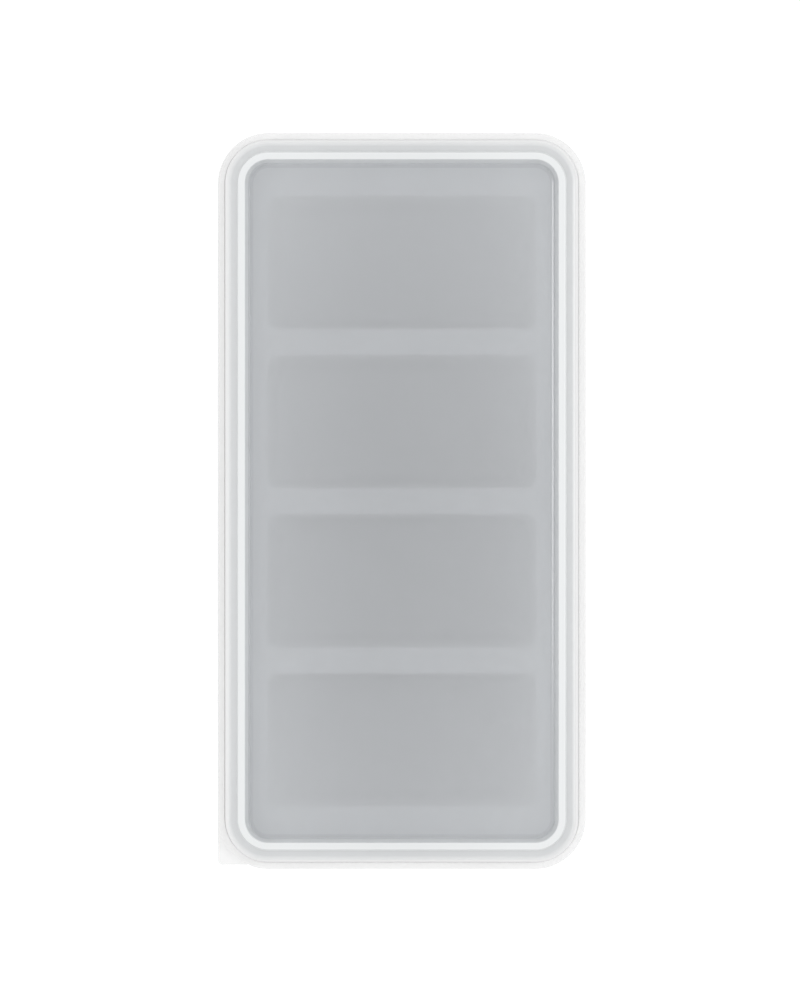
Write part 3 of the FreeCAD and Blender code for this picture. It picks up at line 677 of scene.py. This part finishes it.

# The plastic by its reach from the core: how milky one face looks, how rough it is, and its colour.
# It is clearest in the lip and the etched panel, polished in the moat round it, nearly white in the
# solid rib and the shoulder, and has a painted shade line, a darker grey, in the crease at the skirt's
# foot.
PANEL_GREY = (0.794, 0.815, 0.842)
WALL_WHITE = (0.830, 0.850, 0.866)
CHANNEL_WHITE = (0.896, 0.912, 0.922)
RIB_WHITE = (0.825, 0.842, 0.849)
SHOULDER_WHITE = (0.88, 0.883, 0.886)
CREASE_SHADE = (0.60, 0.60, 0.60)
LIP_WHITE = (0.91, 0.91, 0.91)
TAB_WHITE = (0.90, 0.90, 0.90)
LAYERS = (
    (panel_edge, 0.29, 0.42, PANEL_GREY),
    (moat_edge, 0.29, 0.16, PANEL_GREY),
    (moat_middle, 0.32, 0.16, PANEL_GREY),
    (moat_middle + 0.4 * MM, 0.53, 0.16, WALL_WHITE),
    (rib_inner - 0.4 * MM, 0.57, 0.18, WALL_WHITE),
    (rib_inner + 0.1 * MM, 0.85, 0.25, RIB_WHITE),
    (rib_outer - 0.1 * MM, 0.85, 0.25, RIB_WHITE),
    (rib_outer + 0.4 * MM, 0.46, 0.30, CHANNEL_WHITE),
    (RIM_CORNER - 1.4 * MM, 0.49, 0.30, CHANNEL_WHITE),
    (skirt_inner, 0.82, 0.34, SHOULDER_WHITE),
    (skirt_outer - 0.08 * MM, 0.88, 0.34, SHOULDER_WHITE),
    # Painted shade: a darker grey in the crease where the skirt meets the lip, reaching a little up the
    # skirt's foot.
    (skirt_outer - 0.02 * MM, 0.70, 0.30, CREASE_SHADE),
    (skirt_outer + 0.3 * MM, 0.70, 0.35, CREASE_SHADE),
    (skirt_outer + 0.5 * MM, 0.24, 0.35, LIP_WHITE),
    (lip_outer - 0.2 * MM, 0.25, 0.35, LIP_WHITE),
    (lip_outer + 0.2 * MM, 0.25, 0.35, TAB_WHITE),
)
# Painted light: the plastic is made milkier, and so lighter, towards the panel's sides and over the ring
# round it, and less so towards the two short ends.
PAINTED_EDGE_LIGHT = 0.10
EDGE_LIMIT = 1.2
END_SHARE = 0.6
STREAK_MILKINESS = 0.012


def lid_tree():
    """The lid's section swept round the rim, its panel, and the tab joined on at one corner."""
    tree, start, out = new_tree(
        "lid", ("Core X", "Float"), ("Core Y", "Float"), ("Path reach", "Float"), ("Corner steps", "Int"),
        ("Panel top", "Float"), ("Panel foot", "Float"), ("Tab", "Object"), ("Material", "Material"))
    ring = sweep_round_rim(tree, start, start.outputs["Section"])
    top = close_at(tree, ring, start.outputs["Panel top"], (0, 400))
    foot = close_at(tree, ring, start.outputs["Panel foot"], (0, -400), facing_down=True)
    cover = joined(tree, (900, 0), ring, top, foot)
    tab = add_node(tree, "GeometryNodeObjectInfo", (1200, -300))
    tree.links.new(start.outputs["Tab"], tab.inputs["Object"])
    union = add_node(tree, "GeometryNodeMeshBoolean", (1500, 0), operation="UNION", solver="EXACT")
    tree.links.new(cover, union.inputs["Mesh 2"])
    tree.links.new(tab.outputs["Geometry"], union.inputs["Mesh 2"])
    finish_tree(tree, union.outputs["Mesh"], start.outputs["Material"], out)
    return tree


def make_tab():
    """The tab as a closed plate: it fills the corner outside the middle of the skirt's wall."""
    root = (skirt_inner + skirt_outer) / 2
    side = -core_x - lip_outer
    end = -core_y - lip_outer + TAB_STEP
    outline = [Vector((-core_x - root, -core_y)), Vector((side, -core_y))]
    centre = Vector((side + TAB_CORNER, end + TAB_CORNER))
    for step in range(ARC_STEPS + 1):
        angle = math.pi * (1 + step / ARC_STEPS / 2)
        outline.append(centre + TAB_CORNER * Vector((math.cos(angle), math.sin(angle))))
    outline += [Vector((-core_x, end)), Vector((-core_x, -core_y - root))]
    for step in range(1, LID_STEPS):
        angle = math.pi * (1.5 - step / LID_STEPS / 2)
        outline.append(Vector((-core_x, -core_y)) + root * Vector((math.cos(angle), math.sin(angle))))
    builder = bmesh.new()
    foot = [builder.verts.new((point.x, point.y, lid_low.z)) for point in outline]
    top = [builder.verts.new((point.x, point.y, lid_low.z + TAB_THICKNESS)) for point in outline]
    builder.faces.new(top)
    builder.faces.new(foot[::-1])
    for here, after in zip(range(len(foot)), [*range(1, len(foot)), 0]):
        builder.faces.new((foot[here], foot[after], top[after], top[here]))
    bmesh.ops.recalc_face_normals(builder, faces=builder.faces)
    mesh = bpy.data.meshes.new("tab")
    builder.to_mesh(mesh)
    builder.free()
    return new_object("tab", mesh)


def lid_material():
    """Frosted polypropylene with a fine etched grain, milky where thick and clearer where thin, with
    painted light that makes it milkier and lighter towards the panel's edges and less so at the short ends,
    and a painted shade line in the crease at the skirt's foot.
    """
    material, tree = new_material("lid_plastic")
    shader = tree.nodes["Principled BSDF"]
    shader.inputs["IOR"].default_value = 1.49
    shader.inputs["Specular IOR Level"].default_value = 0.9
    place = add_node(tree, "ShaderNodeTexCoord", (-2000, 0))
    apart = add_node(tree, "ShaderNodeVectorMath", (-1800, 0), operation="ABSOLUTE")
    past = add_node(tree, "ShaderNodeVectorMath", (-1600, 0), {1: (core_x, core_y, lid_high.z)},
                    operation="SUBTRACT")
    out_of = add_node(tree, "ShaderNodeVectorMath", (-1400, 0), {1: (0, 0, 0)}, operation="MAXIMUM")
    reach = add_node(tree, "ShaderNodeVectorMath", (-1200, 0), operation="LENGTH")
    share = add_node(tree, "ShaderNodeMath", (-1000, 0), {1: 1 / LAYERS[-1][0]}, operation="MULTIPLY")
    by_reach = add_node(tree, "ShaderNodeValToRGB", (-800, 0))
    tint = add_node(tree, "ShaderNodeValToRGB", (-800, 300))
    tree.links.new(place.outputs["Object"], apart.inputs[0])
    tree.links.new(apart.outputs[0], past.inputs[0])
    tree.links.new(past.outputs[0], out_of.inputs[0])
    tree.links.new(out_of.outputs[0], reach.inputs[0])
    tree.links.new(reach.outputs["Value"], share.inputs[0])
    for ramp, colours in ((by_reach, [(level, level, level, 1.0) for _, level, _, _ in LAYERS]),
                          (tint, [(*colour, roughness) for _, _, roughness, colour in LAYERS])):
        tree.links.new(share.outputs[0], ramp.inputs["Fac"])
        stops = ramp.color_ramp.elements
        while len(stops) < len(LAYERS):
            stops.new(1.0)
        for stop, layer, colour in zip(stops, LAYERS, colours):
            stop.position = layer[0] / LAYERS[-1][0]
            stop.color = colour

    # Painted light: milkiness rising towards the panel's edges, and less towards the short ends, so the
    # plastic looks lighter there.
    to_edge = add_node(tree, "ShaderNodeVectorMath", (-1600, 300), {1: (
        1 / (core_x + panel_edge), math.sqrt(END_SHARE) / (core_y + panel_edge), 0)}, operation="MULTIPLY")
    rise = add_node(tree, "ShaderNodeVectorMath", (-1400, 300), operation="DOT_PRODUCT")
    flow = add_node(tree, "ShaderNodeTexNoise", (-1600, 550), {
        "Scale": 14.0, "Detail": 4.0, "Distortion": 0.6})
    streaks = add_node(tree, "ShaderNodeMapRange", (-1400, 550), {
        "To Min": -STREAK_MILKINESS, "To Max": STREAK_MILKINESS})
    limit = add_node(tree, "ShaderNodeMath", (-1200, 300), {1: EDGE_LIMIT}, operation="MINIMUM")
    edges = add_node(tree, "ShaderNodeMath", (-1000, 300), {1: PAINTED_EDGE_LIGHT}, operation="MULTIPLY_ADD")
    milk = add_node(tree, "ShaderNodeMath", (-400, 100), operation="ADD", use_clamp=True)
    tree.links.new(apart.outputs[0], to_edge.inputs[0])
    tree.links.new(to_edge.outputs[0], rise.inputs[0])
    tree.links.new(to_edge.outputs[0], rise.inputs[1])
    tree.links.new(place.outputs["Object"], flow.inputs["Vector"])
    tree.links.new(flow.outputs["Fac"], streaks.inputs["Value"])
    tree.links.new(rise.outputs["Value"], limit.inputs[0])
    tree.links.new(limit.outputs[0], edges.inputs[0])
    tree.links.new(streaks.outputs[0], edges.inputs[2])
    tree.links.new(by_reach.outputs["Color"], milk.inputs[0])
    tree.links.new(edges.outputs[0], milk.inputs[1])
    tree.links.new(milk.outputs[0], shader.inputs["Alpha"])

    grain = add_node(tree, "ShaderNodeTexNoise", (-800, -400), {"Scale": 3000.0, "Detail": 2.0})
    bump = add_node(tree, "ShaderNodeBump", (-200, -400), {"Strength": 0.12, "Distance": 0.04 * MM})
    tree.links.new(tint.outputs["Color"], shader.inputs["Base Color"])
    tree.links.new(tint.outputs["Alpha"], shader.inputs["Roughness"])
    tree.links.new(place.outputs["Object"], grain.inputs["Vector"])
    tree.links.new(grain.outputs["Fac"], bump.inputs["Height"])
    tree.links.new(bump.outputs[0], shader.inputs["Normal"])
    return material


lid_section = section_object("lid_section", rounded_line((
    (panel_edge, panel_top, 0),
    (moat_edge, panel_top, MOAT_EDGE_ROUND),
    (moat_middle, panel_top - MOAT_DEPTH, MOAT_ROUND),
    (rib_inner - RIB_LEAN, lid_high.z, RIB_ROUND),
    (rib_outer, lid_high.z, RIB_ROUND),
    (rib_outer, channel_top, RIB_ROOT_ROUND),
    (skirt_outer - SKIRT_DRAFT, channel_top, LID_ROUND),
    (skirt_outer, lid_low.z + LIP_THICKNESS, SKIRT_ROOT_ROUND),
    (lip_outer, lid_low.z + LIP_THICKNESS, LIP_ROUND),
    (lip_outer, lid_low.z, LIP_FOOT_ROUND),
    (skirt_inner, lid_low.z, LIP_FOOT_ROUND),
    (skirt_inner, lid_low.z + RIDGE_LIFT, RIDGE_ROOT_ROUND),
    (skirt_inner - RIDGE_REACH, lid_low.z + RIDGE_LIFT + RIDGE_REACH, RIDGE_ROUND),
    (skirt_inner - RIDGE_REACH, lid_low.z + RIDGE_LIFT + RIDGE_HEIGHT - RIDGE_REACH, RIDGE_ROUND),
    (skirt_inner, lid_low.z + RIDGE_LIFT + RIDGE_HEIGHT, RIDGE_ROOT_ROUND),
    (skirt_inner, channel_roof, LID_ROUND - LID_WALL),
    (rib_outer, channel_roof, CHANNEL_ROUND),
    (rib_outer, panel_foot, RIB_LEAD),
    (panel_edge, panel_foot, 0),
)))
tab = make_tab()
lid = grow(lid_section, lid_tree(), {
    "Core X": core_x, "Core Y": core_y, "Path reach": rib_outer, "Corner steps": LID_STEPS,
    "Panel top": panel_top, "Panel foot": panel_foot, "Tab": tab, "Material": lid_material(),
}, "lid_moulding")
for scaffold in (lid_section, tab):
    bpy.data.objects.remove(scaffold)
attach(lid, "lid")
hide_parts("lid")
